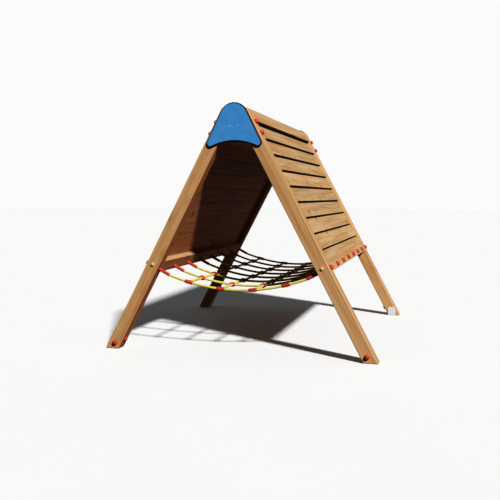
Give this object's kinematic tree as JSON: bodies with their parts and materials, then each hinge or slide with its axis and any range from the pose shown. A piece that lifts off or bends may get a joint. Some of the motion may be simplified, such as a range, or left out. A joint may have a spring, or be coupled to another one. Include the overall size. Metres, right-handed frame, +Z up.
{
  "type": "a-frame play tent with rope net",
  "caption": "Timber A-frame play tent: leaning square posts on a ridge beam, boarded sides, rounded gable plates, and a sagging rope net slung between the bottom rails.",
  "frame": {"origin": "on the ground at the middle of the footprint", "axes": "+X to the right across the A, -Y to the front gable, +Z up"},
  "size_m": [2.08, 2.2506, 1.833],
  "materials": {
    "post_wood": "honey stained softwood, satin",
    "board_wood": "honey stained softwood boards, satin",
    "inner_wood": "honey stained softwood, satin",
    "blue_board": "blue sheet plastic with a black core shown at its bevelled edge",
    "red_cap": "moulded red plastic",
    "beige_cap": "moulded beige plastic",
    "net_rope": "yellow braided rope with red pressed sleeves and caps",
    "net_connector": "yellow rope in moulded red connectors",
    "white_plate": "blank white plate"
  },
  "bodies": {
    "root": {"front_left_post": "post_wood", "front_right_post": "post_wood", "rear_left_post": "post_wood", "rear_right_post": "post_wood", "ridge_beam": "inner_wood", "left_bottom_rail": "board_wood", "left_lowest_board": "board_wood", "left_board_1": "board_wood", "left_board_2": "board_wood", "left_board_3": "board_wood", "left_board_4": "board_wood", "left_board_5": "board_wood", "left_board_6": "board_wood", "left_board_7": "board_wood", "left_board_8": "board_wood", "left_top_board": "board_wood", "right_bottom_rail": "board_wood", "right_lowest_board": "board_wood", "right_board_1": "board_wood", "right_board_2": "board_wood", "right_board_3": "board_wood", "right_board_4": "board_wood", "right_board_5": "board_wood", "right_board_6": "board_wood", "right_board_7": "board_wood", "right_board_8": "board_wood", "right_top_board": "board_wood", "front_left_anchor_bolt": "red_cap", "rear_right_anchor_bolt": "red_cap", "front_gable_plate": "blue_board", "rear_gable_plate": "blue_board", "front_left_lower_ridge_bolt": "red_cap", "front_left_upper_ridge_bolt": "red_cap", "front_left_rail_bolt": "beige_cap", "front_left_foot_bolt": "red_cap", "front_right_lower_ridge_bolt": "red_cap", "front_right_upper_ridge_bolt": "red_cap", "front_right_rail_bolt": "beige_cap", "front_right_foot_bolt": "red_cap", "rear_left_lower_ridge_bolt": "red_cap", "rear_left_upper_ridge_bolt": "red_cap", "rear_left_rail_bolt": "beige_cap", "rear_left_foot_bolt": "red_cap", "rear_right_lower_ridge_bolt": "red_cap", "rear_right_upper_ridge_bolt": "red_cap", "rear_right_rail_bolt": "beige_cap", "rear_right_foot_bolt": "red_cap", "net_rope_1": "net_rope", "net_rope_2": "net_rope", "net_rope_3": "net_rope", "net_rope_4": "net_rope", "net_rope_5": "net_rope", "net_rope_6": "net_rope", "net_rope_7": "net_rope", "net_rope_8": "net_rope", "net_cross_rope_1": "net_connector", "net_cross_rope_2": "net_connector", "net_cross_rope_3": "net_connector", "net_cross_rope_4": "net_connector", "foot_plate": "white_plate"}
  },
  "joints": []
}
